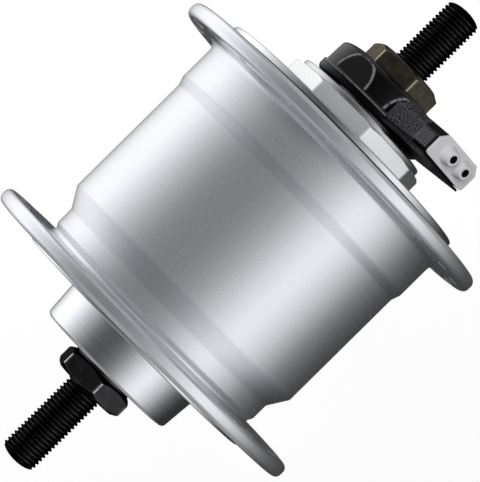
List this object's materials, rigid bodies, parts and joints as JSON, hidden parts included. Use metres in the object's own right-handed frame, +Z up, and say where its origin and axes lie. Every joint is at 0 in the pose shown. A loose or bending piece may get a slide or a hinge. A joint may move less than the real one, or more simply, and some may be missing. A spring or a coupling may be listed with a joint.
{
  "type": "bicycle hub dynamo",
  "caption": "Front wheel hub dynamo: silver shell with spoke flanges that spins on a threaded axle, with lock nuts and a black connector with a two-port wire plug.",
  "frame": {"origin": "middle of the axle, on its axis", "axes": "+Y along the axle towards the connector, +Z up along the connector's arm, +X across"},
  "size_m": [0.0868, 0.14, 0.0868],
  "materials": {
    "axle_steel": "rolled thread, black oxide",
    "black_nut": "black oxide",
    "olive_nut": "olive chromate plated",
    "satin_aluminium": "satin silver",
    "cover_aluminium": "fine turned",
    "seal_rubber": "moulded",
    "dust_cover_steel": "pressed, plated",
    "dust_cap_steel": "pressed, plated",
    "bearing_steel": "ground",
    "ball_steel": "polished",
    "cage_brass": "pressed",
    "yoke_steel": "rolled",
    "ferrite": "sintered, ground",
    "pole_steel": "stamped",
    "bobbin_nylon": "moulded",
    "enamelled_copper": "enamelled wire",
    "lead_insulation": "insulated",
    "zinc_steel": "zinc plated",
    "black_plastic": "moulded",
    "contact_brass": "plated",
    "grey_plastic": "moulded"
  },
  "bodies": {
    "axle_assembly": {"axle": "axle_steel", "left_lock_nut": "black_nut", "right_lock_nut": "olive_nut", "left_washer": "black_nut", "left_cone": "bearing_steel", "right_cone": "bearing_steel", "left_stator_nut": "zinc_steel", "right_stator_nut": "zinc_steel", "left_claw_pole": "pole_steel", "right_claw_pole": "pole_steel", "stator_core": "pole_steel", "coil_bobbin": "bobbin_nylon", "coil_winding": "enamelled_copper", "coil_lead": "lead_insulation", "connector_mount": "black_plastic", "connector_body": "black_plastic", "contact_strips": "contact_brass"},
    "shell_assembly": {"hub_shell": "satin_aluminium", "right_end_cover": "cover_aluminium", "cover_seal": "seal_rubber", "right_dust_cover": "dust_cover_steel", "left_dust_cap": "dust_cap_steel", "left_bearing_cup": "bearing_steel", "right_bearing_cup": "bearing_steel", "magnet_yoke": "yoke_steel", "magnets": "ferrite"},
    "left_ball_set": {"left_balls": "ball_steel", "left_ball_cage": "cage_brass"},
    "right_ball_set": {"right_balls": "ball_steel", "right_ball_cage": "cage_brass"},
    "wire_plug": {"plug_body": "black_plastic", "plug_cap": "grey_plastic"}
  },
  "joints": [
    {"name": "hub_spin", "type": "hinge", "parent": "axle_assembly", "child": "shell_assembly", "pos_m": [0, 0, 0], "axis": [0, 1, 0], "continuous": true},
    {"name": "left_ball_orbit", "type": "hinge", "parent": "axle_assembly", "child": "left_ball_set", "pos_m": [0, 0, 0], "axis": [0, 1, 0], "continuous": true},
    {"name": "right_ball_orbit", "type": "hinge", "parent": "axle_assembly", "child": "right_ball_set", "pos_m": [0, 0, 0], "axis": [0, 1, 0], "continuous": true},
    {"name": "plug_slide", "type": "slide", "parent": "axle_assembly", "child": "wire_plug", "axis": [0, 0, 1], "range_m": [0, 0.011]}
  ],
  "couplings": [
    {"joint": "left_ball_orbit", "follows": "hub_spin", "ratio": 0.5886},
    {"joint": "right_ball_orbit", "follows": "hub_spin", "ratio": 0.5886}
  ]
}
